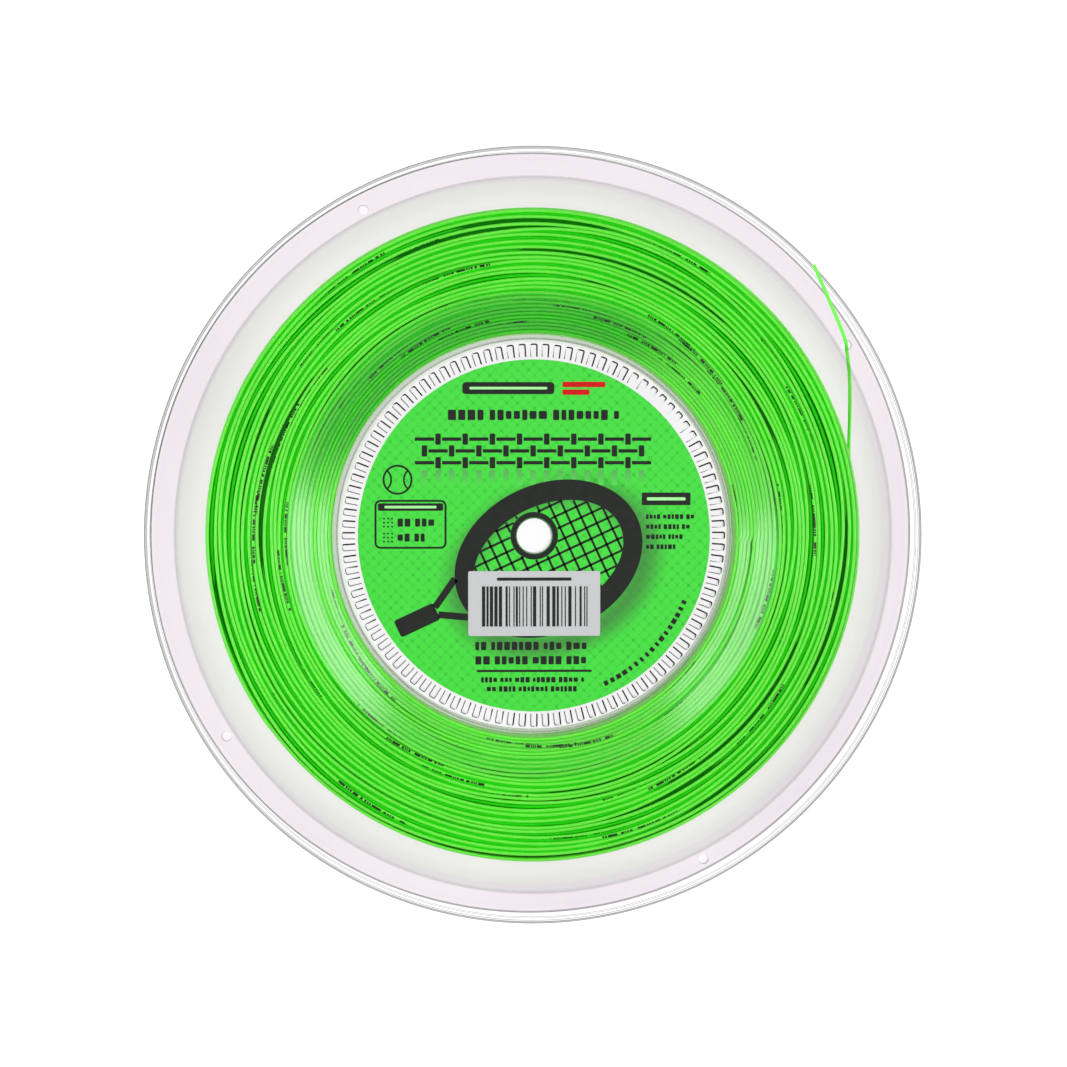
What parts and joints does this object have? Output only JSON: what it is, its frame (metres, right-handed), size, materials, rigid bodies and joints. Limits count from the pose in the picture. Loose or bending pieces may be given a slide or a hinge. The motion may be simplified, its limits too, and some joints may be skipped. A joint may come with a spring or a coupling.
{
  "type": "tennis string reel",
  "caption": "Clear two-part plastic spool with toothed hub, centre bore and round label, wound with green racket string whose free end is threaded through the front flange.",
  "frame": {"origin": "centre of the plane of the rear rim, which the reel lies on", "axes": "+Z along the bore towards the labelled front, +Y up as the label reads, +X to its right"},
  "size_m": [0.27, 0.27, 0.0296],
  "materials": {
    "clear_plastic": "clear moulded polystyrene",
    "string": "smooth extruded polyester",
    "label": "printed, satin laminate",
    "sticker": "silver-grey paper"
  },
  "bodies": {
    "root": {"rear_half": "clear_plastic", "front_half": "clear_plastic", "front_label": "label", "bar_sticker": "sticker", "string_core": "string", "string_winding": "string", "string_tail": "string"}
  },
  "joints": []
}
